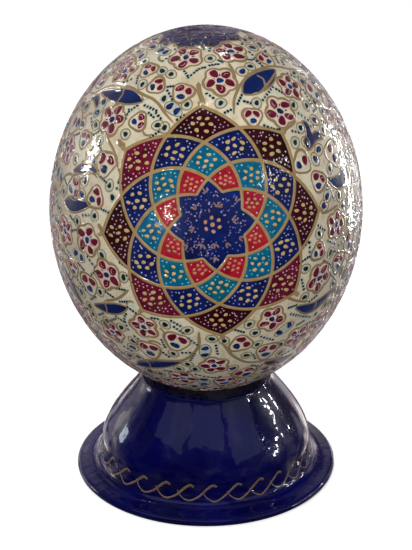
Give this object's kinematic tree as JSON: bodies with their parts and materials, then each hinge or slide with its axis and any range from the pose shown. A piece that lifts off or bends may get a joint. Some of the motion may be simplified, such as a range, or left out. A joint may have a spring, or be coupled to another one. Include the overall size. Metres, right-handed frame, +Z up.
{
  "type": "painted ostrich egg on a stand",
  "caption": "Varnished ostrich egg painted with a rosette and a field of small flowers, standing upright in the dished top of a flared, lacquered stand.",
  "frame": {"origin": "middle of the stand's flat foot, on the surface that it stands on", "axes": "+Z up along the egg's long axis, -Y towards the middle of the painted rosette, +X to the right of it"},
  "size_m": [0.13, 0.13, 0.1967],
  "materials": {
    "painted_shell": "painted in small flowers and varnished to a high gloss",
    "lacquered_stand": "deep cobalt blue gloss lacquer with a gold brushed scroll"
  },
  "bodies": {
    "root": {"egg_shell": "painted_shell", "stand": "lacquered_stand"}
  },
  "joints": []
}
